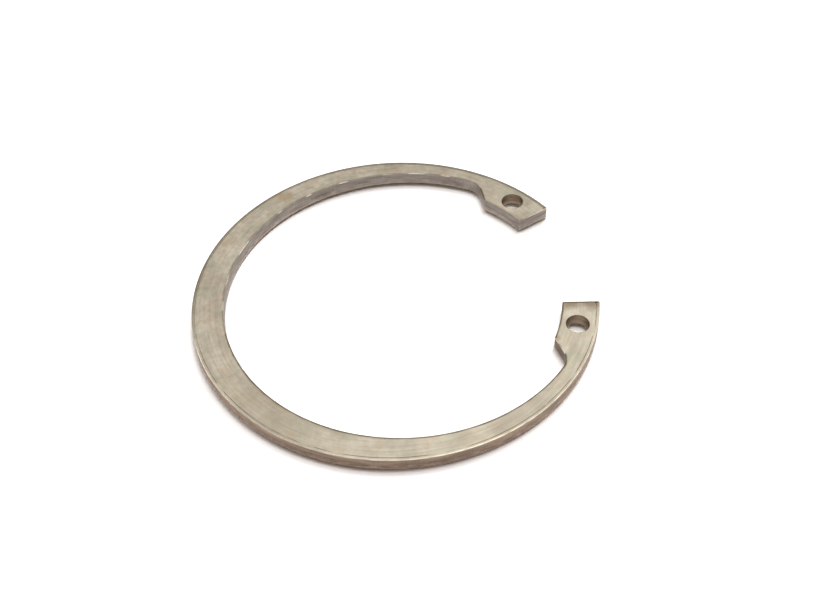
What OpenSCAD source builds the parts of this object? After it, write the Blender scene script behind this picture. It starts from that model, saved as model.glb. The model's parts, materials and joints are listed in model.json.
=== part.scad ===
// Internal retaining ring: one flat stamping of spring steel that springs into a groove in
// a round bore. The band is widest opposite the mouth and tapers towards two lugs, each
// with a hole for the pliers.
// The ring lies flat. The origin is the middle of its outer circle, halfway up the sheet, and
// the mouth opens towards +X, between a left lug at +Y and a right lug at -Y.
// Every cut edge has one section: rolled over at the top, where the punch entered, straight
// where the sheet sheared, and fallen back a little below that, where it tore.

/* [Band] */
// Diameter of the outer circle of the free ring
outer_d = 90.5; // [70:0.5:130]
// Thickness of the sheet
thickness = 3; // [2.2:0.1:5]
// Radial width of the band opposite the mouth
back_w = 7; // [4:0.1:12]
// Radial width that the tapering band would come down to at the mouth
tip_w = 2.8; // [1:0.1:4.4]

/* [Lugs] */
// Radial height of a lug, from the outer circle in to its inner edge
lug_h = 8.2; // [7.4:0.1:12]
// Length of a lug along its inner edge, from the end face to the heel
lug_len = 10.9; // [6:0.1:20]
// Angle at which the shoulder behind the heel turns away from the inner edge
shoulder_turn = 44; // [25:1:60]
// Radius of the hollow fillet between the shoulder and the band
fillet_r = 4.7; // [1:0.1:6]
// Radius on the heel of a lug
heel_r = 0.7; // [0.6:0.1:2.5]

/* [Mouth] */
// Width of the mouth between the inner corners of the lugs
mouth_w = 27.4; // [10:0.2:40]
// Angle of each end face to the centre line of the mouth
end_lean = 16.4; // [0:0.2:25]
// Radius on the inner corner of each end face
inner_corner_r = 0.5; // [0.5:0.1:2]
// Radius on the outer corner of each end face
outer_corner_r = 0.5; // [0.5:0.1:2.5]

/* [Plier holes] */
// Diameter of the holes
hole_d = 5; // [2:0.1:6.4]
// Distance from a hole's centre out to the outer circle
hole_edge = 4.35; // [3.2:0.05:5.2]
// Distance from a hole's centre to the end face
hole_end = 6.6; // [3.5:0.1:10]
// Radius on the rims of the holes
hole_rim_r = 0.15; // [0.05:0.05:0.4]

/* [Cut edges] */
// Radius rolled over on the upper edges
roll_r = 0.25; // [0.1:0.05:0.5]
// Radius left by tumbling on the lower edges
burr_r = 0.15; // [0.05:0.05:0.35]
// Height of the torn part of the wall above the lower face
tear_h = 1.4; // [0.5:0.1:2.4]
// How far the torn wall has fallen back at the lower face
tear_in = 0.06; // [0.02:0.02:0.14]

/* [Hidden] */
steel = [0.74, 0.71, 0.63];
// Segments of the wide arcs, and of the small rounds
wide_fn = 360;
round_fn = 48;
// How far a cut runs on past the metal, and past its end on a wide arc, in degrees
clear = 1;
clear_a = 2;
// A round stands this share of its radius off its walls, and so does a rolled edge off its
// face, so that they cross at a slight angle, as tumbled corners do
round_off = 1.015;
fillet_off = 1.004;
face_off = 0.01;

outer_r = outer_d / 2;
lug_r = outer_r - lug_h;
// The inner circle is moved towards the mouth, which gives the band its taper
inner_r = outer_r - (back_w + tip_w) / 2;
inner_x = (back_w - tip_w) / 2;
inner_c = [inner_x, 0];

// End face of the left lug: its direction outwards, the side that faces the mouth, its
// inner corner, and its distance from the origin
end_dir = [cos(end_lean), sin(end_lean)];
end_normal = [sin(end_lean), -cos(end_lean)];
end_corner = [sqrt(lug_r * lug_r - mouth_w * mouth_w / 4), mouth_w / 2];
end_dist = -end_corner * end_normal;

// Point a given depth behind the end face and a given distance from the origin
function behind_end(depth, dist) =
    sqrt(dist * dist - (end_dist + depth) * (end_dist + depth)) * end_dir
    - (end_dist + depth) * end_normal;

// Angle of a point seen from a centre
function bearing(p, c = [0, 0]) = atan2(p[1] - c[1], p[0] - c[0]);

// How far along a line from p, in direction d, its distance from the origin is dist
function run_to(p, d, dist) = -p * d + sqrt((p * d) * (p * d) - p * p + dist * dist);

// Shoulder: a straight wall from the heel out to the fillet, open on shoulder_side
heel_a = bearing(end_corner) + lug_len / lug_r * 180 / PI;
heel = lug_r * [cos(heel_a), sin(heel_a)];
shoulder_a = heel_a + 90 - shoulder_turn;
shoulder_dir = [cos(shoulder_a), sin(shoulder_a)];
shoulder_side = [-sin(shoulder_a), cos(shoulder_a)];

// Centres of the rounds and of the plier hole
heel_start = heel - heel_r * shoulder_side;
heel_c = heel_start + run_to(heel_start, shoulder_dir, lug_r + heel_r) * shoulder_dir;
fillet_start = heel + fillet_r * shoulder_side - inner_c;
fillet_c = inner_c + fillet_start
    + run_to(fillet_start, shoulder_dir, inner_r - fillet_r) * shoulder_dir;
fillet_a = bearing(fillet_c, inner_c);
inner_corner_c = behind_end(inner_corner_r, lug_r + inner_corner_r);
hole_c = behind_end(hole_end, outer_r - hole_edge);
outer_corner_c = behind_end(outer_corner_r, outer_r - outer_corner_r);

// What a cut takes away beside a wall at x = 0, with the metal at x < 0
module cut_section(reach) {
    roll_z = thickness - roll_r + face_off;
    burr_z = burr_r - face_off;
    torn_x = -tear_in - burr_r;
    difference() {
        polygon([
            [reach, thickness + clear], [-roll_r, thickness + clear], [-roll_r, roll_z], [0, roll_z],
            [0, tear_h], [-tear_in, burr_z], [torn_x, burr_z], [torn_x, -clear], [reach, -clear]
        ]);
        translate([-roll_r, roll_z]) circle(roll_r, $fn = round_fn);
        translate([torn_x, burr_z]) circle(burr_r, $fn = round_fn);
    }
}

// Cut round the outside of an arc of metal
module cut_outside(c, r, from, to) {
    translate([c[0], c[1], 0]) rotate(from)
        rotate_extrude(angle = to - from, $fn = 2 * round_fn) translate([r, 0]) cut_section(r);
}

// Cut round the inside of an arc of metal, whose centre lies in the open
module cut_inside(c, r, from, to, reach, fn = wide_fn) {
    translate([c[0], c[1], 0]) rotate(from)
        rotate_extrude(angle = to - from, $fn = fn)
            translate([r, 0]) mirror([1, 0]) cut_section(reach);
}

// Straight cut from p to q, with the open side on the left
module cut_straight(p, q, reach) {
    translate([p[0], p[1], 0]) rotate([90, 0, bearing(q, p) + 90])
        linear_extrude(norm(q - p)) cut_section(reach);
}

// Flat disc whose rim is the outside of the ring
module disc() {
    rotate_extrude($fn = wide_fn) difference() {
        square([outer_r + clear, thickness]);
        translate([outer_r, 0]) cut_section(2 * clear);
    }
}

// Open middle and mouth, clear of the walls that the other cuts make
module opening() {
    near = end_corner + 2 * clear * end_normal - 2 * clear * end_dir;
    far = near + (outer_r + clear - near[0]) / end_dir[0] * end_dir;
    translate([0, 0, -clear]) {
        cylinder(thickness + 2 * clear, r = min(lug_r, outer_r - back_w) - clear, $fn = wide_fn);
        linear_extrude(thickness + 2 * clear)
            polygon([[0, near[1]], near, far, [far[0], -far[1]], [near[0], -near[1]], [0, -near[1]]]);
    }
}

// Inner wall of the band, from one fillet round the back to the other
module band_wall() {
    cut_inside(inner_c, inner_r, fillet_a, 360 - fillet_a, lug_h + clear);
}

// Inner edges of both lugs, which lie on one circle; the cut runs on over the heel rounds
module lug_edges() {
    end_a = heel_a + asin(heel_r / lug_r) + clear_a;
    cut_inside([0, 0], lug_r, -end_a, end_a, lug_h);
}

// Fillet and shoulder behind the left lug, with the round on its heel. The fillet is a full
// circle, whose middle is cut first because the cut beside its wall ends short of there
module shoulder() {
    fillet_end = fillet_c - fillet_r * shoulder_side;
    translate([fillet_c[0], fillet_c[1], -clear])
        cylinder(thickness + 2 * clear, r = fillet_r / 2, $fn = 2 * round_fn);
    cut_inside(fillet_c, fillet_r * fillet_off, 0, 360, fillet_r - clear / 4, 2 * round_fn);
    cut_straight(heel - 2 * heel_r * shoulder_dir, fillet_end, lug_h);
    cut_outside(heel_c, heel_r * round_off, shoulder_a + 90, bearing(heel_c) + 180);
}

// Mouth on the left lug's side, with the rounds on the corners of its end face
module end_face() {
    cut_straight(
        end_corner + (lug_h + 2 * clear) * end_dir, end_corner - 2 * clear * end_dir, 4 * clear
    );
    cut_outside(
        outer_corner_c, outer_corner_r * round_off, end_lean - 90, bearing(outer_corner_c)
    );
    cut_outside(
        inner_corner_c, inner_corner_r * round_off, bearing(inner_corner_c) - 180, end_lean - 90
    );
}

// Plier hole with both rims rounded
module plier_hole() {
    flare_r = hole_d / 2 + hole_rim_r;
    low = hole_rim_r - face_off;
    high = thickness - low;
    translate([hole_c[0], hole_c[1], 0]) rotate_extrude($fn = 2 * round_fn) difference() {
        polygon([
            [0, -clear], [flare_r, -clear], [flare_r, low], [hole_d / 2, low],
            [hole_d / 2, high], [flare_r, high], [flare_r, thickness + clear], [0, thickness + clear]
        ]);
        translate([flare_r, low]) circle(hole_rim_r, $fn = round_fn);
        translate([flare_r, high]) circle(hole_rim_r, $fn = round_fn);
    }
}

// Takes the given cut out of a piece on the left and on the right
module both_sides() {
    difference() {
        children(0);
        children(1);
        mirror([0, 1, 0]) children(1);
    }
}

module retaining_ring() {
    color(steel) translate([0, 0, -thickness / 2]) both_sides() {
        both_sides() {
            both_sides() {
                difference() {
                    disc();
                    opening();
                    band_wall();
                    lug_edges();
                }
                shoulder();
            }
            end_face();
        }
        plier_hole();
    }
}

retaining_ring();
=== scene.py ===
# Internal retaining ring, stamped from spring steel, lying on a pale studio floor.
# Lengths are in millimetres until the mesh is written; the scene itself is in metres.

import json
import math

import bmesh
import bpy
from mathutils import Matrix, Vector
from mathutils import noise as meshNoise


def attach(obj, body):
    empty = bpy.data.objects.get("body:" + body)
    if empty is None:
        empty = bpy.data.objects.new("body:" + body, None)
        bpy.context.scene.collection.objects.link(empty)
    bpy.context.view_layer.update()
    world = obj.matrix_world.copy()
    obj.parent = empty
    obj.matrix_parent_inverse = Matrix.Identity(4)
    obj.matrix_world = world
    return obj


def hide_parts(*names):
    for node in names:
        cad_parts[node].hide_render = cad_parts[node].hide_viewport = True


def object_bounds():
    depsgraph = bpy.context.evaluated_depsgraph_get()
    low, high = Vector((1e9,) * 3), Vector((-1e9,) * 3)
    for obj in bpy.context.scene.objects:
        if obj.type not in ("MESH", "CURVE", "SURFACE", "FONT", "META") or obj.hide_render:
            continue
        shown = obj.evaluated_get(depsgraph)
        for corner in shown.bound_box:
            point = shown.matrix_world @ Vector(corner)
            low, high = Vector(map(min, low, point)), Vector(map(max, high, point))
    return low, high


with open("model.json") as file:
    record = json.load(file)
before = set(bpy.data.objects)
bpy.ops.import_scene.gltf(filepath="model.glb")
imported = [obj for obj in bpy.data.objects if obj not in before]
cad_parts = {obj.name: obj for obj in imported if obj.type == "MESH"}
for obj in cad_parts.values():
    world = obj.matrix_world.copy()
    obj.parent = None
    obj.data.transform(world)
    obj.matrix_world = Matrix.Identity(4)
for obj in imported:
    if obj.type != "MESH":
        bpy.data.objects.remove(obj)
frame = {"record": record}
cadBounds = [list(corner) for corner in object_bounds()]
print("frame loaded, CAD box", cadBounds)

mm = 0.001
mounts = {mount["name"]: mount for mount in frame["record"]["mounts"]}
floorHeight = cadBounds[0][2]


# Colour and node helpers

def hexColour(code):
    # sRGB hex to the linear values that the shaders work in
    parts = [int(code[i:i + 2], 16) / 255 for i in (1, 3, 5)]
    return tuple(c / 12.92 if c <= 0.04045 else ((c + 0.055) / 1.055) ** 2.4 for c in parts) + (1.0,)


def addNode(tree, kind, settings=None, links=None):
    # settings go to the node's properties, or to a socket where the key names or numbers one;
    # links say which output feeds which input
    node = tree.nodes.new(kind)
    for name, value in (settings or {}).items():
        if isinstance(name, str) and name not in node.inputs:
            setattr(node, name, value)
        else:
            node.inputs[name].default_value = value
    for name, source in (links or {}).items():
        tree.links.new(source, node.inputs[name])
    return node


def newMaterial(name):
    material = bpy.data.materials.new(name)
    material.use_nodes = True
    tree = material.node_tree
    tree.nodes.clear()
    output = tree.nodes.new("ShaderNodeOutputMaterial")
    return material, tree, output


# Camera, at the photograph's viewing angle

cameraView = {
    "azimuth": -13.76,             # degrees round from straight in front, towards the left
    "elevation": 46.79,            # degrees above the floor
    "roll": 3.05,                  # degrees
    "distance": 262.2,             # millimetres from the middle of the outer circle
    "focalPixels": 1165.8,         # focal length in pixels of the 819 x 614 frame
    "middlePixel": (395.64, 303.02),   # where the middle of the ring shows
    "frameSize": (819, 614),
}


def makeCamera(view):
    azimuth, elevation = math.radians(view["azimuth"]), math.radians(view["elevation"])
    back = Vector((
        math.sin(azimuth) * math.cos(elevation),
        -math.cos(azimuth) * math.cos(elevation),
        math.sin(elevation),
    ))
    right = Vector((math.cos(azimuth), math.sin(azimuth), 0))
    turn = Matrix((right, back.cross(right), back))          # rows: the camera's own axes
    turn = Matrix.Rotation(math.radians(view["roll"]), 3, "Z") @ turn
    width, height = view["frameSize"]
    sideways = (view["middlePixel"][0] - width / 2) / view["focalPixels"]
    upwards = -(view["middlePixel"][1] - height / 2) / view["focalPixels"]
    pan = Vector((0, 0, -1)).rotation_difference(Vector((sideways, upwards, -1)))
    turn = pan.to_matrix() @ turn
    data = bpy.data.cameras.new("studioCamera")
    data.sensor_fit = "HORIZONTAL"
    data.sensor_width = 36
    data.lens = view["focalPixels"] * data.sensor_width / width
    data.clip_start = 0.005
    data.clip_end = 20
    camera = bpy.data.objects.new("studioCamera", data)
    camera.matrix_world = Matrix.Translation(
        Vector((0, 0, floorHeight)) + back * view["distance"] * mm
    ) @ turn.transposed().to_4x4()
    bpy.context.scene.collection.objects.link(camera)
    bpy.context.scene.camera = camera
    return camera


makeCamera(cameraView)
print("camera placed")


# The ring's plan: one closed line round the metal, with the way out of the metal at each point

ringPlan = {
    "backWidth": 7.0,              # radial width of the band opposite the mouth
    "tipWidth": 2.8,               # width that the taper would come down to at the mouth
    "lugHeight": 8.2,              # from the outer circle in to a lug's inner edge
    "lugLength": 10.9,             # along a lug's inner edge
    "shoulderTurn": 44.0,          # degrees between a lug's inner edge and its shoulder
    "filletRadius": 4.7,
    "heelRadius": 0.7,
    "mouthWidth": 27.4,
    "endLean": 16.4,               # degrees between an end face and the mouth's centre line
    "cornerRadius": 0.3,           # on both corners of an end face; 0.5 in the solid, less in the photo
    "pointSpacing": 0.3,           # along the line; rounds get at least roundPoints
    "roundPoints": 10,
}
noLimit = 99                       # millimetres, where a cut may reach in as far as it likes
roundReach = 0.85                  # share of its radius that a cut may reach in on a round
closePoints = 1e-4                 # points nearer than this are one


def polar(angle, radius=1.0):
    return Vector((math.cos(angle), math.sin(angle))) * radius


def bearing(point):
    return math.atan2(point.y, point.x)


def runTo(start, way, distance):
    # how far along way from start the distance from the origin is reached
    along = start.dot(way)
    return -along + math.sqrt(along * along - start.dot(start) + distance * distance)


def arc(centre, radius, start, end, hollow=False):
    # along an arc: points, ways out, and how far in from the edge the arc allows
    # hollow arcs bound the metal from inside their circle
    length = abs(end - start) * radius
    count = max(ringPlan["roundPoints"], round(length / ringPlan["pointSpacing"]))
    side = -1 if hollow else 1
    reach = noLimit if hollow else radius * roundReach
    for i in range(count + 1):
        angle = start + (end - start) * i / count
        yield centre + polar(angle, radius), polar(angle) * side, reach


def straight(start, end, out):
    count = max(2, round((end - start).length / ringPlan["pointSpacing"]))
    for i in range(1, count):
        yield start.lerp(end, i / count), out, noLimit


def halfLine(plan, outerRadius):
    # the left half, from the back of the outer circle round the lug to the back of the inner one
    lugRadius = outerRadius - plan["lugHeight"]
    innerRadius = outerRadius - (plan["backWidth"] + plan["tipWidth"]) / 2
    innerCentre = Vector(((plan["backWidth"] - plan["tipWidth"]) / 2, 0))
    origin = Vector((0, 0))
    lean = math.radians(plan["endLean"])
    endWay, endOut = polar(lean), Vector((math.sin(lean), -math.cos(lean)))
    halfMouth = plan["mouthWidth"] / 2
    corner = Vector((math.sqrt(lugRadius ** 2 - halfMouth ** 2), halfMouth))
    endDistance = -corner.dot(endOut)

    def behindEnd(depth, distance):
        across = endDistance + depth
        return endWay * math.sqrt(distance ** 2 - across ** 2) - endOut * across

    cornerRadius = plan["cornerRadius"]
    outerCentre = behindEnd(cornerRadius, outerRadius - cornerRadius)
    innerRoundCentre = behindEnd(cornerRadius, lugRadius + cornerRadius)

    heelAngle = bearing(corner) + plan["lugLength"] / lugRadius
    heel = polar(heelAngle, lugRadius)
    shoulderAngle = heelAngle + math.pi / 2 - math.radians(plan["shoulderTurn"])
    shoulderWay = polar(shoulderAngle)
    shoulderOut = polar(shoulderAngle + math.pi / 2)
    heelRadius, filletRadius = plan["heelRadius"], plan["filletRadius"]
    heelStart = heel - shoulderOut * heelRadius
    heelCentre = heelStart + shoulderWay * runTo(heelStart, shoulderWay, lugRadius + heelRadius)
    filletStart = heel + shoulderOut * filletRadius - innerCentre
    filletCentre = innerCentre + filletStart + shoulderWay * runTo(
        filletStart, shoulderWay, innerRadius - filletRadius
    )
    shoulderBearing = bearing(shoulderOut)

    line = []
    line += arc(origin, outerRadius, math.pi, bearing(outerCentre))
    line += arc(outerCentre, cornerRadius, bearing(outerCentre), lean - math.pi / 2)
    line += straight(
        outerCentre + endOut * cornerRadius, innerRoundCentre + endOut * cornerRadius, endOut
    )
    line += arc(innerRoundCentre, cornerRadius, lean - math.pi / 2, bearing(innerRoundCentre) - math.pi)
    line += arc(origin, lugRadius, bearing(innerRoundCentre), bearing(heelCentre), hollow=True)
    line += arc(heelCentre, heelRadius, bearing(heelCentre) - math.pi, shoulderBearing - 2 * math.pi)
    line += straight(
        heelCentre + shoulderOut * heelRadius, filletCentre - shoulderOut * filletRadius, shoulderOut
    )
    line += arc(
        filletCentre, filletRadius, shoulderBearing - math.pi,
        bearing(filletCentre - innerCentre), hollow=True
    )
    line += arc(innerCentre, innerRadius, bearing(filletCentre - innerCentre), math.pi, hollow=True)
    return line


def closedLine(plan, outerRadius):
    # the left half runs clockwise; the right half is its mirror image, run the other way
    left = halfLine(plan, outerRadius)
    right = [
        (Vector((point.x, -point.y)), Vector((out.x, -out.y)), reach)
        for point, out, reach in reversed(left)
    ]
    line = []
    for point, out, reach in left + right:
        if not line or (point - line[-1][0]).length > closePoints:
            line.append((point, out, reach))
    if (line[0][0] - line[-1][0]).length < closePoints:
        line.pop()
    return line[::-1]              # counter-clockwise, seen from above


outerRadius = mounts["rim"]["dims"]["r_mm"]
ringLine = closedLine(ringPlan, outerRadius)
print("plan line has", len(ringLine), "points")


# The cut edge: its section from the upper face to the lower one

cutEdge = {
    "rollWidth": 0.27,             # width of the slope that the punch drew down along the edge
    "rollRadius": 1.20,            # its radius, which gives a slope of 14 degrees at the wall
    "rollSteps": 5,
    "cornerRadius": 0.10,          # tumbled round where the slope meets the wall
    "cornerSpread": 0.4,           # share of it that the round reaches in over the slope
    "cornerShort": 0.02,           # share of it by which the round ends above a full one
    "cornerSteps": 3,
    "shearStart": 0.04,            # the polish of the corner fades out this far down the wall
    "tearHeight": 1.2,             # height of the torn part above the lower face
    "tearIn": 0.03,                # how far it has fallen back
    "footHeight": 0.55,            # from here down the tear flares out again, as a burr does
    "footOut": 0.05,               # how far it stands out at the bottom
    "burrRadius": 0.15,            # tumbled round at the bottom
    "burrSteps": 4,
    "shearSteps": 3,
    "tearSteps": 6,
    "footSteps": 3,
    "faceMargin": 0.06,            # flat strip between the roll and the face
    "shadeFadeWidth": 0.55,            # the painted shade lines fade out over this width, further in
    "tearWander": 0.22,            # how far the border of the tear wanders up and down
    "tearRoughness": 0.035,        # how rough the torn wall is
    "tearGrain": (2.3, 0.9),       # torn grains in a millimetre, along the wall and up
    "tearBulge": 0.4,              # how far the grain stands in on average, in units of the roughness
    "tearFade": (1.2, 0.15),       # spread and start of the roughness down the tear
    "innerRoll": 0.55,             # share of the roll's width and depth on the inner edges
    "innerRollWander": 0.35,
    "rollWander": 0.18,            # share by which the roll grows and shrinks along the edge
    "nickDepth": 0.15,             # how deep the nicks in the upper edge can get
    "nickFrom": 0.42,              # noise above this makes a nick
}

# polish, painted highlights and painted shade lines along the upper edges
edgeMarks = {
    "rimMark": 0.1,                # mark where the slope begins, enough for the full painted shade line
    "slopeWearAndSheen": 0.8,              # how much more there is at the wall
    "slopePower": 4,               # most of it close to the wall
    "footLightStart": 0.4,               # painted light and polish at the top of the foot, 1 at its bottom
    "polishWander": 0.8,
    "farShade": 0.6,               # painted dark line outside, on the far side, for the dim surroundings that this edge reflects
    "farTurn": (2.5, 0.2),         # how fast and how far round the polish gives way to it
    "nearInnerShade": 0.85,        # painted shade line inside, on the near side
    "farInnerShade": 0.45,         # and on the far side, where painted glints break it
    "shadeWander": 0.35,
    "glintFrom": 0.05,              # noise above this makes a glint
    "glintSharpness": 6,
    "glintSide": 0.1,               # glints lie where the way out leans less than this to the back
    "glintAbove": 0.7,               # and only on rows whose mark is above this
}

# length in millimetres and seed of each noise along the ring
waves = {
    "tear": (3.2, 1), "roll": (2.6, 2), "nick": (0.7, 3), "innerRoll": (1.9, 4),
    "polishAndHighlight": (1.6, 5), "glint": (3.4, 6), "stainAndShade": (2.2, 7),
}
seedStep = 17.3


def clamp(value):
    return max(0.0, min(1.0, value))


def edgeSection(edge, marks, thickness):
    # rows of (inset, height above the lower face, kind of surface, wear and painted light); kinds: roll,
    # sheared, torn, foot and burr
    width, radius = edge["rollWidth"], edge["rollRadius"]
    rim = width + edge["faceMargin"]
    rows = [
        (rim + edge["shadeFadeWidth"], thickness, "roll", 0.0),
        (rim, thickness, "roll", marks["rimMark"]),
    ]
    flat = math.asin(width / radius)               # slope at which the roll meets the wall
    turn = edge["cornerRadius"]
    spread = turn * edge["cornerSpread"]
    for i in range(edge["rollSteps"] + 1):
        slope = flat * i / edge["rollSteps"]
        inset = width - radius * math.sin(slope) + spread
        wearAndLight = marks["rimMark"] + marks["slopeWearAndSheen"] * (slope / flat) ** marks["slopePower"]
        rows.append((inset, thickness - radius + radius * math.cos(slope), "roll", wearAndLight))
    edgeHeight = rows[-1][1]
    drop = turn * (math.cos(flat) - edge["cornerShort"])
    for i in range(1, edge["cornerSteps"] + 1):
        slope = flat + (math.pi / 2 - flat) * i / edge["cornerSteps"]
        inset = spread * (1 - (math.sin(slope) - math.sin(flat)) / (1 - math.sin(flat)))
        height = edgeHeight - drop * (math.cos(flat) - math.cos(slope)) / math.cos(flat)
        rows.append((max(0.0, inset), height, "roll", 1.0))
    shearTop = rows[-1][1] - edge["shearStart"]
    for i in range(edge["shearSteps"] + 1):
        height = shearTop + (edge["tearHeight"] - shearTop) * i / edge["shearSteps"]
        rows.append((0, height, "sheared", 0.0))
    for i in range(1, edge["tearSteps"] + 1):
        share = i / edge["tearSteps"]
        height = edge["tearHeight"] + (edge["footHeight"] - edge["tearHeight"]) * share
        rows.append((edge["tearIn"] * share, height, "torn", 0.0))
    burr = edge["burrRadius"]
    for i in range(1, edge["footSteps"] + 1):
        share = i / edge["footSteps"]
        height = edge["footHeight"] + (burr - edge["footHeight"]) * share
        inset = edge["tearIn"] * (1 - share) - edge["footOut"] * share
        wearAndLight = marks["footLightStart"] + (1 - marks["footLightStart"]) * share
        rows.append((inset, height, "foot", wearAndLight))
    for i in range(1, edge["burrSteps"] + 1):
        angle = math.pi / 2 * i / edge["burrSteps"]
        inset = burr - burr * math.cos(angle) - edge["footOut"]
        rows.append((inset, burr - burr * math.sin(angle), "burr", 1 - angle / 2))
    rows.append((burr - edge["footOut"] + edge["faceMargin"], 0, "burr", 0.0))
    return rows


thickness = (cadBounds[1][2] - cadBounds[0][2]) / mm
edgeRows = edgeSection(cutEdge, edgeMarks, thickness)


def wander(point, wave):
    # smooth noise from -1 to 1 along the ring
    length, seed = waves[wave]
    return meshNoise.noise(Vector((point.x / length, point.y / length, seed * seedStep)))


def edgePoint(point, out, reach, row):
    # a point of the line moved to its place in a row
    inset, height, kind, wearAndLight = row
    edge = cutEdge
    if kind == "torn":
        depth = 1 - height / edge["tearHeight"]
        along, up = edge["tearGrain"]
        spread, start = edge["tearFade"]
        rough = meshNoise.noise(Vector((point.x * along, point.y * along, height * up)))
        strength = math.sin(math.pi * min(1, depth * spread + start))
        inset += edge["tearRoughness"] * (edge["tearBulge"] + rough) * strength
        height += edge["tearWander"] * wander(point, "tear") * (1 - depth)
    if kind == "roll":
        grow = 1 + edge["rollWander"] * wander(point, "roll")
        if point.dot(out) < 0:
            grow *= edge["innerRoll"] * (1 + edge["innerRollWander"] * wander(point, "innerRoll"))
        inset = min(inset * grow, reach * inset / edgeRows[0][0])
        height = thickness - (thickness - height) * grow
        height -= edge["nickDepth"] * max(0.0, wander(point, "nick") - edge["nickFrom"]) * wearAndLight
    flat = point - out * inset
    return Vector((flat.x * mm, flat.y * mm, height * mm + floorHeight))


def edgeWearAndLight(point, out, row):
    # above 0 where the edge is polished and painted bright as a highlight, below 0 where a line of
    # painted shade darkens it: on the inner edges, and outside on the far side
    inset, height, kind, wearAndLight = row
    marks = edgeMarks
    if kind != "roll":
        return wearAndLight
    stainAndShade = min(1.0, wearAndLight / marks["rimMark"])
    # outside, the polish is painted bright as a highlight on the near side and gives way to a painted dark
    # line on the far side
    if point.dot(out) > 0:
        speed, start = marks["farTurn"]
        far = clamp(speed * out.y + start)
        polishAndHighlight = max(0.0, wearAndLight - marks["rimMark"]) * (1 + marks["polishWander"] * wander(point, "polishAndHighlight"))
        return polishAndHighlight * (1 - far) - marks["farShade"] * far * stainAndShade
    # painted highlight: bright glints in patches along the far inner edge
    glint = clamp(marks["glintSharpness"] * (wander(point, "glint") - marks["glintFrom"]))
    glint *= out.y < marks["glintSide"]
    stainAndShade *= marks["farInnerShade"] if out.y < 0 else marks["nearInnerShade"]
    stainAndShade *= 1 + marks["shadeWander"] * wander(point, "stainAndShade")
    return (wearAndLight > marks["glintAbove"]) * glint - (1 - glint) * stainAndShade


plierHole = {
    "rimRadius": 0.10,             # tumbled round on both rims
    "rimSteps": 5,
    "margin": 0.08,                # flat strip round the rims
    "wallHeights": (1.5, 1.0, 0.7, 0.4),
    "points": 96,
    "rimShade": 0.4,               # painted dark shade round the upper rim
    "plainAbove": 1.2,             # the wall has its plain colour down to this height
    "lightBelow": 1.1,             # and is painted lighter from here down, for light from the floor
}


def holeRows(hole):
    # rows of (distance out from the wall, height above the lower face), from the top down
    radius = hole["rimRadius"]
    rows = [(radius + hole["margin"], thickness)]
    for i in range(hole["rimSteps"] + 1):
        angle = math.pi / 2 * i / hole["rimSteps"]
        rows.append((radius - radius * math.sin(angle), thickness - radius + radius * math.cos(angle)))
    rim = [(out, thickness - height) for out, height in reversed(rows)]
    return rows + [(0, height) for height in hole["wallHeights"]] + rim


def holeShadeAndLight(hole, out, height):
    if out > hole["rimRadius"] or (out == 0 and height > hole["plainAbove"]):
        return 0.0
    return -hole["rimShade"] if height > thickness / 2 else max(0.0, 1 - height / hole["lightBelow"])


def bridge(bm, loops, material):
    # quads between closed loops of equal length; material gives the slot for each strip
    count = len(loops[0])
    for strip, (upper, lower) in enumerate(zip(loops, loops[1:])):
        for i in range(count):
            j = (i + 1) % count
            face = bm.faces.new((upper[i], lower[i], lower[j], upper[j]))
            face.smooth = True
            face.material_index = material(strip)


def makeRing():
    bm = bmesh.new()
    wearAndLightLayer = bm.verts.layers.float.new("edgeWearAndLight")
    loops = []
    for row in edgeRows:
        loop = [bm.verts.new(edgePoint(point, out, reach, row)) for point, out, reach in ringLine]
        for vertex, (point, out, reach) in zip(loop, ringLine):
            vertex[wearAndLightLayer] = edgeWearAndLight(point, out, row)
        loops.append(loop)
    slots = {"roll": 0, "sheared": 1, "torn": 2, "foot": 2, "burr": 0}
    bridge(bm, loops, lambda strip: slots[edgeRows[strip + 1][2]])
    tops, bottoms = [loops[0]], [loops[-1]]
    for name in ("left_plier_hole", "right_plier_hole"):
        centre = Vector(mounts[name]["pos_m"][:2]) / mm
        radius = mounts[name]["dims"]["r_mm"]
        rows = holeRows(plierHole)
        hole = []
        for out, height in rows:
            ring = []
            for i in range(plierHole["points"]):
                spot = centre + polar(-2 * math.pi * i / plierHole["points"], radius + out)
                ring.append(bm.verts.new((spot.x * mm, spot.y * mm, height * mm + floorHeight)))
                ring[-1][wearAndLightLayer] = holeShadeAndLight(plierHole, out, height)
            hole.append(ring)
        bridge(bm, hole, lambda strip: 3 if rows[strip][0] == rows[strip + 1][0] == 0 else 0)
        tops.append(hole[0])
        bottoms.append(hole[-1])
    for group, way in ((tops, 1), (bottoms, -1)):
        edges = [
            bm.edges.get((ring[i], ring[(i + 1) % len(ring)])) for ring in group for i in range(len(ring))
        ]
        bmesh.ops.triangle_fill(bm, edges=edges, use_beauty=True, normal=(0, 0, way))
    bmesh.ops.recalc_face_normals(bm, faces=bm.faces)
    mesh = bpy.data.meshes.new("retainingRing")
    bm.to_mesh(mesh)
    bm.free()
    ring = bpy.data.objects.new("retainingRing", mesh)
    bpy.context.scene.collection.objects.link(ring)
    return ring


# Materials

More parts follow.
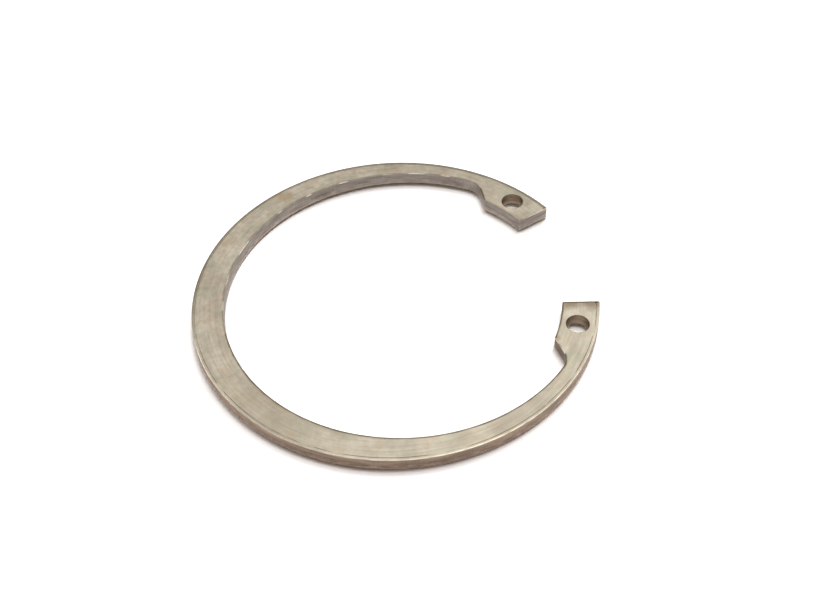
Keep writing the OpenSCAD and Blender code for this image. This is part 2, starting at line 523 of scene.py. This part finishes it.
faceLook = {
    "cloudColours": ("#9C9585", "#A8A191", "#B3AC9C"),   # dark, middle and light blotches
    "cloudPlaces": (0.33, 0.5, 0.68),    # noise levels at which these colours lie
    "cloudSize": 7.0,              # millimetres across
    "mottleSize": 1.1,
    "mottleDepth": 0.14,           # how much the mottling lightens and darkens
    "lineLength": 9.0,             # rolling and stamping lines run along the ring
    "lineWidth": 0.42,
    "lineDepth": 0.10,
    "warmTint": "#A8937C",
    "coolTint": "#9C9F8C",
    "tintSize": 3.2,
    "tintDepth": 0.42,
    "warmRange": (0.55, 0.72),     # noise levels between which each tint comes up
    "coolRange": (0.45, 0.28),
    "wornHighlightColour": "#ECE1CA",       # edges polished by tumbling, painted brighter still as a highlight
    "edgeShadeColour": "#4E4232",   # painted shade lines along the edges
    "creaseInset": 0.66,           # the die left a line this far in from the outer edge
    "creaseWidth": 0.10,
    # painted shade in the die's line
    "creaseShadeColour": "#5E4E3E",
    "creaseDepth": 0.90,
    "creaseDrift": 0.25,           # how far it drifts in and out
    "creasePatches": (4.0, 3.0, 3.0),    # lengths of its stretches and breaks
    "creaseRange": (0.32, 0.48),   # noise levels between which a break ends
    "creaseRelief": 2.5,           # its depth, in units of the grain's
    "lineRelief": 0.6,
    "patchCore": 0.3,              # share of a patch's radius at full strength
    "patchRag": 1.6,               # how far the mottling frays a patch's border
    "roughness": (0.50, 0.60),
    "wornPolish": 0.28,            # how much smoother the worn edges are
    "grainSize": 0.30,             # real grain is finer; drawn coarser so that it shows
    "bump": 0.012,                 # millimetres
}

# soft darker patches on the upper face: the small ones are stains, the rest painted shade
faceStainsAndShade = [
    # painted shade at the right lug's end
    {"middle": (36.0, -13.9), "radius": 3.4, "colour": "#7C6F5D", "strength": 0.85},
    {"middle": (40.4, -15.4), "radius": 3.4, "colour": "#7C6F5D", "strength": 0.85},
    {"middle": (29.4, -23.4), "radius": 1.1, "colour": "#7A6652", "strength": 0.40},
    {"middle": (-16.5, 39.5), "radius": 2.6, "colour": "#A2865F", "strength": 0.40},
    {"middle": (2.0, -37.6), "radius": 2.4, "colour": "#928571", "strength": 0.30},
    # broad painted shade on the near side and at the lower left
    {"middle": (16.0, -40.5), "radius": 11.0, "colour": "#7E7668", "strength": 0.32},
    {"middle": (-31.0, -24.0), "radius": 15.0, "colour": "#8A8270", "strength": 0.35},
]


# noise seldom leaves this range
noiseLow, noiseHigh = 0.3, 0.7


def longNoise(tree, place, lengths, detail, roughness=0.5):
    # noise whose blotches have the given lengths in millimetres
    sized = addNode(
        tree, "ShaderNodeVectorMath",
        {"operation": "MULTIPLY", 1: [1 / (length * mm) for length in lengths]}, {0: place}
    )
    return addNode(
        tree, "ShaderNodeTexNoise", {"Scale": 1.0, "Detail": detail, "Roughness": roughness},
        {"Vector": sized.outputs["Vector"]}
    ).outputs["Fac"]


def aroundRing(tree):
    # place, the ring rolled out flat, and distance from its middle, all in metres; rolled out,
    # X runs along the ring, Y away from its middle and Z up, and the cut lies in the mouth
    place = addNode(tree, "ShaderNodeTexCoord").outputs["Object"]
    parts = addNode(tree, "ShaderNodeSeparateXYZ", {}, {"Vector": place})
    flat = addNode(tree, "ShaderNodeVectorMath", {"operation": "MULTIPLY", 1: (1, 1, 0)}, {0: place})
    radius = addNode(tree, "ShaderNodeVectorMath", {"operation": "LENGTH"}, {0: flat.outputs["Vector"]})
    backX = addNode(tree, "ShaderNodeMath", {"operation": "MULTIPLY", 1: -1.0}, {0: parts.outputs["X"]})
    backY = addNode(tree, "ShaderNodeMath", {"operation": "MULTIPLY", 1: -1.0}, {0: parts.outputs["Y"]})
    angle = addNode(
        tree, "ShaderNodeMath", {"operation": "ARCTAN2"}, {0: backY.outputs[0], 1: backX.outputs[0]}
    )
    along = addNode(
        tree, "ShaderNodeMath", {"operation": "MULTIPLY", 1: outerRadius * mm}, {0: angle.outputs[0]}
    )
    rolled = addNode(
        tree, "ShaderNodeCombineXYZ", {},
        {"X": along.outputs[0], "Y": radius.outputs["Value"], "Z": parts.outputs["Z"]}
    )
    return place, rolled.outputs["Vector"], radius.outputs["Value"]


def shaded(tree, colour, noise, depth):
    # lightens and darkens a colour by up to depth, as noise rises and falls
    factor = addNode(
        tree, "ShaderNodeMapRange",
        {"From Min": noiseLow, "From Max": noiseHigh, "To Min": 1 - depth, "To Max": 1 + depth},
        {"Value": noise}
    )
    return addNode(
        tree, "ShaderNodeVectorMath", {"operation": "SCALE"}, {0: colour, "Scale": factor.outputs["Result"]}
    ).outputs["Vector"]


def rolledSteel():
    # Cold rolled spring steel strip, hardened and tumbled with stones. The eye sees a satin, warm
    # grey skin with soft oxide clouds, fine lines along the ring, edges worn bright and painted brighter
    # as highlights, painted shade along edges, in the die's line and in patches, and a few real stains.
    look = faceLook
    material, tree, output = newMaterial("tumbledSpringSteel")
    place, rolled, radius = aroundRing(tree)

    clouds = addNode(
        tree, "ShaderNodeTexNoise", {"Scale": 1 / (look["cloudSize"] * mm), "Detail": 3, "Distortion": 0.4},
        {"Vector": place}
    )
    ramp = addNode(tree, "ShaderNodeValToRGB", {}, {"Fac": clouds.outputs["Fac"]})
    ramp.color_ramp.elements.new(0.5)
    for element, level, code in zip(ramp.color_ramp.elements, look["cloudPlaces"], look["cloudColours"]):
        element.position = level
        element.color = hexColour(code)
    colour = ramp.outputs["Color"]

    tints = addNode(
        tree, "ShaderNodeTexNoise", {"Scale": 1 / (look["tintSize"] * mm), "Detail": 2}, {"Vector": rolled}
    )
    for tint in ("warm", "cool"):
        low, high = look[tint + "Range"]
        share = addNode(
            tree, "ShaderNodeMapRange",
            {"From Min": low, "From Max": high, "To Max": look["tintDepth"]},
            {"Value": tints.outputs["Fac"]}
        )
        colour = addNode(
            tree, "ShaderNodeMix", {"data_type": "RGBA", 7: hexColour(look[tint + "Tint"])},
            {0: share.outputs["Result"], 6: colour}
        ).outputs[2]

    mottle = addNode(
        tree, "ShaderNodeTexNoise", {"Scale": 1 / (look["mottleSize"] * mm), "Detail": 4, "Roughness": 0.6},
        {"Vector": place}
    )
    colour = shaded(tree, colour, mottle.outputs["Fac"], look["mottleDepth"])
    lines = longNoise(tree, rolled, (look["lineLength"], look["lineWidth"], 1.0), 2)
    colour = shaded(tree, colour, lines, look["lineDepth"])

    for stainAndShade in faceStainsAndShade:
        middle = (stainAndShade["middle"][0] * mm, stainAndShade["middle"][1] * mm, cadBounds[1][2])
        away = addNode(tree, "ShaderNodeVectorMath", {"operation": "DISTANCE", 1: middle}, {0: place})
        ragged = addNode(
            tree, "ShaderNodeMath", {"operation": "MULTIPLY_ADD", 1: look["patchRag"] * mm},
            {0: mottle.outputs["Fac"], 2: away.outputs["Value"]}
        )
        core = look["patchCore"] * stainAndShade["radius"]
        share = addNode(
            tree, "ShaderNodeMapRange",
            {"interpolation_type": "SMOOTHSTEP", "From Min": (core + look["patchRag"] / 2) * mm,
             "From Max": (stainAndShade["radius"] + look["patchRag"] / 2) * mm,
             "To Min": stainAndShade["strength"], "To Max": 0.0},
            {"Value": ragged.outputs[0]}
        )
        colour = addNode(
            tree, "ShaderNodeMix", {"data_type": "RGBA", 7: hexColour(stainAndShade["colour"])},
            {0: share.outputs["Result"], 6: colour}
        ).outputs[2]

    # the die's line inside the outer edge, broken here and there, painted dark as shade in its groove
    patches = longNoise(tree, rolled, look["creasePatches"], 2)
    drift = addNode(
        tree, "ShaderNodeMath", {"operation": "MULTIPLY_ADD", 1: look["creaseDrift"] * mm},
        {0: patches, 2: radius}
    )
    creaseRadius = outerRadius - look["creaseInset"] + look["creaseDrift"] / 2
    off = addNode(
        tree, "ShaderNodeMath", {"operation": "SUBTRACT", 1: creaseRadius * mm}, {0: drift.outputs[0]}
    )
    near = addNode(tree, "ShaderNodeMath", {"operation": "ABSOLUTE"}, {0: off.outputs[0]})
    line = addNode(
        tree, "ShaderNodeMapRange",
        {"interpolation_type": "SMOOTHSTEP", "From Min": 0.0, "From Max": look["creaseWidth"] * mm,
         "To Min": look["creaseDepth"], "To Max": 0.0},
        {"Value": near.outputs[0]}
    )
    low, high = look["creaseRange"]
    broken = addNode(tree, "ShaderNodeMapRange", {"From Min": low, "From Max": high}, {"Value": patches})
    crease = addNode(
        tree, "ShaderNodeMath", {"operation": "MULTIPLY"},
        {0: line.outputs["Result"], 1: broken.outputs["Result"]}
    )
    colour = addNode(
        tree, "ShaderNodeMix", {"data_type": "RGBA", 7: hexColour(look["creaseShadeColour"])},
        {0: crease.outputs[0], 6: colour}
    ).outputs[2]

    # the mark above 0 polishes the edge and paints a highlight on it; below 0 it paints shade
    wearAndLight = addNode(tree, "ShaderNodeAttribute", {"attribute_name": "edgeWearAndLight"})
    polishAndHighlight = addNode(tree, "ShaderNodeMapRange", {}, {"Value": wearAndLight.outputs["Fac"]})
    paintedShadeShare = addNode(tree, "ShaderNodeMapRange", {"From Max": -1.0}, {"Value": wearAndLight.outputs["Fac"]})
    for share, code in ((paintedShadeShare, look["edgeShadeColour"]), (polishAndHighlight, look["wornHighlightColour"])):
        colour = addNode(
            tree, "ShaderNodeMix", {"data_type": "RGBA", 7: hexColour(code)},
            {0: share.outputs["Result"], 6: colour}
        ).outputs[2]

    smooth, dull = look["roughness"]
    gloss = addNode(
        tree, "ShaderNodeMapRange",
        {"From Min": noiseLow, "From Max": noiseHigh, "To Min": smooth, "To Max": dull},
        {"Value": mottle.outputs["Fac"]}
    )
    polished = addNode(
        tree, "ShaderNodeMath", {"operation": "MULTIPLY_ADD", 1: -look["wornPolish"]},
        {0: polishAndHighlight.outputs["Result"], 2: gloss.outputs["Result"]}
    )
    grain = addNode(
        tree, "ShaderNodeTexNoise", {"Scale": 1 / (look["grainSize"] * mm), "Detail": 3}, {"Vector": place}
    )
    relief = addNode(
        tree, "ShaderNodeMath", {"operation": "MULTIPLY_ADD", 1: look["lineRelief"]},
        {0: lines, 2: grain.outputs["Fac"]}
    )
    sunk = addNode(
        tree, "ShaderNodeMath", {"operation": "MULTIPLY_ADD", 1: -look["creaseRelief"]},
        {0: crease.outputs[0], 2: relief.outputs[0]}
    )
    bump = addNode(
        tree, "ShaderNodeBump", {"Strength": 1.0, "Distance": look["bump"] * mm},
        {"Height": sunk.outputs[0]}
    )
    shader = addNode(
        tree, "ShaderNodeBsdfPrincipled", {"Metallic": 1.0},
        {"Base Color": colour, "Roughness": polished.outputs[0], "Normal": bump.outputs["Normal"]}
    )
    tree.links.new(shader.outputs["BSDF"], output.inputs["Surface"])
    return material


wallLooks = {
    "shearedSpringSteel": {
        "colours": ("#867E77", "#938B84", "#A29A93"),
        "cloudLengths": (6.0, 6.0, 1.2),       # along, in and up, in millimetres
        "streakLengths": (0.35, 0.35, 3.0),    # burnished upright by the punch
        "streakDepth": 0.16,
        "roughness": (0.48, 0.62),
        "bump": 0.02,
    },
    "tornSpringSteel": {
        "colours": ("#9A918A", "#ACA39B", "#BEB5AD"),
        "cloudLengths": (2.4, 2.4, 0.9),
        "streakLengths": (0.45, 0.45, 0.5),    # torn grains, drawn coarser than real ones
        "streakDepth": 0.22,
        "roughness": (0.55, 0.75),
        "bump": 0.05,
    },
    "piercedSpringSteel": {
        "colours": ("#84715F", "#998773", "#AE9D89"),
        "cloudLengths": (3.0, 3.0, 1.0),
        "streakLengths": (0.30, 0.30, 2.5),
        "streakDepth": 0.18,
        "roughness": (0.38, 0.55),
        "bump": 0.025,
    },
}

wallMarks = {
    "cloudPlaces": (0.35, 0.5, 0.66),
    "outerBrown": (1.12, 0.98, 0.86, 1.0),   # the outer wall is tinted browner than the others
    "outerStrip": (0.7, 0.3),          # it comes up between these depths inside the outer edge
    "footLightColour": "#D6CCC0",       # the lowest part of the walls, polished by tumbling and painted lighter for the light the floor throws up
    "footLightShare": 0.8,
}
# painted shade on the heel of the right lug and its shoulder wall, which face away from the light
heelShade = {"middle": (29.0, -25.5), "radius": 5.5, "core": 0.4, "colour": "#6E5F52", "strength": 0.85}


def wallSteel(name):
    # Walls cut by the punch. Where it sheared, they are smooth with fine upright streaks, and
    # shine softly. Below that the sheet tore: a dull, granular band, lighter partly in its own colour and
    # partly as painted light from the floor. The holes were pierced by a small punch, which left their
    # walls browner and streaked.
    look = wallLooks[name]
    material, tree, output = newMaterial(name)
    place, rolled, radius = aroundRing(tree)
    source = place if name == "piercedSpringSteel" else rolled
    clouds = longNoise(tree, source, look["cloudLengths"], 3)
    ramp = addNode(tree, "ShaderNodeValToRGB", {}, {"Fac": clouds})
    ramp.color_ramp.elements.new(0.5)
    for element, level, code in zip(ramp.color_ramp.elements, wallMarks["cloudPlaces"], look["colours"]):
        element.position = level
        element.color = hexColour(code)
    streaks = longNoise(tree, source, look["streakLengths"], 3, 0.6)
    colour = shaded(tree, ramp.outputs["Color"], streaks, look["streakDepth"])

    start, end = [(outerRadius - depth) * mm for depth in wallMarks["outerStrip"]]
    outside = addNode(tree, "ShaderNodeMapRange", {"From Min": start, "From Max": end}, {"Value": radius})
    colour = addNode(
        tree, "ShaderNodeMix",
        {"data_type": "RGBA", "blend_type": "MULTIPLY", 7: wallMarks["outerBrown"]},
        {0: outside.outputs["Result"], 6: colour}
    ).outputs[2]

    heel = (heelShade["middle"][0] * mm, heelShade["middle"][1] * mm, cadBounds[1][2])
    away = addNode(tree, "ShaderNodeVectorMath", {"operation": "DISTANCE", 1: heel}, {0: place})
    share = addNode(
        tree, "ShaderNodeMapRange",
        {"From Min": heelShade["core"] * heelShade["radius"] * mm, "From Max": heelShade["radius"] * mm,
         "To Min": heelShade["strength"], "To Max": 0.0},
        {"Value": away.outputs["Value"]}
    )
    wearAndLight = addNode(tree, "ShaderNodeAttribute", {"attribute_name": "edgeWearAndLight"})
    footLightMix = addNode(
        tree, "ShaderNodeMath", {"operation": "MULTIPLY", 1: wallMarks["footLightShare"]},
        {0: wearAndLight.outputs["Fac"]}
    )
    for factor, code in (
        (share.outputs["Result"], heelShade["colour"]), (footLightMix.outputs[0], wallMarks["footLightColour"])
    ):
        colour = addNode(
            tree, "ShaderNodeMix", {"data_type": "RGBA", 7: hexColour(code)}, {0: factor, 6: colour}
        ).outputs[2]

    smooth, dull = look["roughness"]
    gloss = addNode(
        tree, "ShaderNodeMapRange",
        {"From Min": noiseLow, "From Max": noiseHigh, "To Min": smooth, "To Max": dull},
        {"Value": streaks}
    )
    bump = addNode(
        tree, "ShaderNodeBump", {"Strength": 1.0, "Distance": look["bump"] * mm}, {"Height": streaks}
    )
    shader = addNode(
        tree, "ShaderNodeBsdfPrincipled", {"Metallic": 1.0},
        {"Base Color": colour, "Roughness": gloss.outputs["Result"], "Normal": bump.outputs["Normal"]}
    )
    tree.links.new(shader.outputs["BSDF"], output.inputs["Surface"])
    return material


retainingRing = makeRing()
retainingRing.data.materials.append(rolledSteel())
for name in ("shearedSpringSteel", "tornSpringSteel", "piercedSpringSteel"):
    retainingRing.data.materials.append(wallSteel(name))
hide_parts("retaining_ring")
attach(retainingRing, "root")
print("ring made,", len(retainingRing.data.polygons), "faces")


# Studio: a pale floor, three soft lamps above and behind, and an even, faint surround

studio = {
    "floorSize": 0.3,              # metres; the lamps light it evenly, white up to its border
    "nearGap": 0.05,               # millimetres under the near edge; the real ring isn't quite flat
    "farGap": 0.54,                # and under the far edge
    "floorColour": "#F1F1F1",
    "floorSeen": 1.58,             # floor brightness for the camera and in gloss; it shows white
    "surroundStrength": 0.13,
    "surroundColour": "#FFE0D0",      # warm, as the shadows in the photo are
}

# soft boxes, in metres and watts: one high above, two behind
lamps = {
    "topLamp": {"place": (0.38, 0.35, 2.34), "size": 0.58, "watts": 22.0},
    "sideLamp": {"place": (0.94, 0.87, 2.03), "size": 0.73, "watts": 19.0},
    "wideLamp": {"place": (-0.86, 1.50, 1.67), "size": 1.50, "watts": 16.5},
}


def makeFloor():
    size = studio["floorSize"]
    mesh = bpy.data.meshes.new("studioFloor")
    corners = [(-size, -size), (size, -size), (size, size), (-size, size)]
    # the floor dips slightly from the near edge of the ring to the far one, because the real ring
    # isn't quite flat and its far side throws a softer shadow
    middle = (studio["nearGap"] + studio["farGap"]) / 2
    slope = (studio["farGap"] - studio["nearGap"]) / (2 * outerRadius)
    mesh.from_pydata(
        [(x, y, floorHeight - middle * mm - slope * y) for x, y in corners], [], [(0, 1, 2, 3)]
    )
    floor = bpy.data.objects.new("studioFloor", mesh)
    bpy.context.scene.collection.objects.link(floor)
    material, tree, output = newMaterial("paleFloor")
    paint = hexColour(studio["floorColour"])
    ray = addNode(tree, "ShaderNodeLightPath")
    direct = addNode(
        tree, "ShaderNodeMath", {"operation": "MAXIMUM"},
        {0: ray.outputs["Is Camera Ray"], 1: ray.outputs["Is Glossy Ray"]}
    )
    seen = addNode(
        tree, "ShaderNodeMath", {"operation": "MAXIMUM"},
        {0: direct.outputs[0], 1: ray.outputs["Is Transmission Ray"]}
    )
    shown = [value * studio["floorSeen"] for value in paint[:3]] + [1.0]
    mix = addNode(tree, "ShaderNodeMix", {"data_type": "RGBA", 6: paint, 7: shown}, {0: seen.outputs[0]})
    plain = addNode(tree, "ShaderNodeBsdfDiffuse", {}, {"Color": mix.outputs[2]})
    tree.links.new(plain.outputs[0], output.inputs["Surface"])
    mesh.materials.append(material)


def makeLight():
    world = bpy.data.worlds.new("paleSurround")
    bpy.context.scene.world = world
    world.use_nodes = True
    tree = world.node_tree
    tree.nodes.clear()
    output = tree.nodes.new("ShaderNodeOutputWorld")
    back = addNode(
        tree, "ShaderNodeBackground", {
            "Strength": studio["surroundStrength"], "Color": hexColour(studio["surroundColour"])
        }
    )
    white = addNode(tree, "ShaderNodeBackground", {"Strength": 1.0, "Color": (1, 1, 1, 1)})
    ray = addNode(tree, "ShaderNodeLightPath")
    seen = addNode(
        tree, "ShaderNodeMath", {"operation": "MAXIMUM"},
        {0: ray.outputs["Is Camera Ray"], 1: ray.outputs["Is Transmission Ray"]}
    )
    mix = addNode(
        tree, "ShaderNodeMixShader", {}, {"Fac": seen.outputs[0], 1: back.outputs[0], 2: white.outputs[0]}
    )
    tree.links.new(mix.outputs[0], output.inputs["Surface"])
    for name, lamp in lamps.items():
        data = bpy.data.lights.new(name, "AREA")
        data.size = lamp["size"]
        data.energy = lamp["watts"]
        light = bpy.data.objects.new(name, data)
        light.location = lamp["place"]
        light.rotation_euler = (-Vector(lamp["place"])).to_track_quat("-Z", "Y").to_euler()
        bpy.context.scene.collection.objects.link(light)


makeFloor()
makeLight()
bpy.context.scene.view_settings.view_transform = "Standard"
print("studio made")
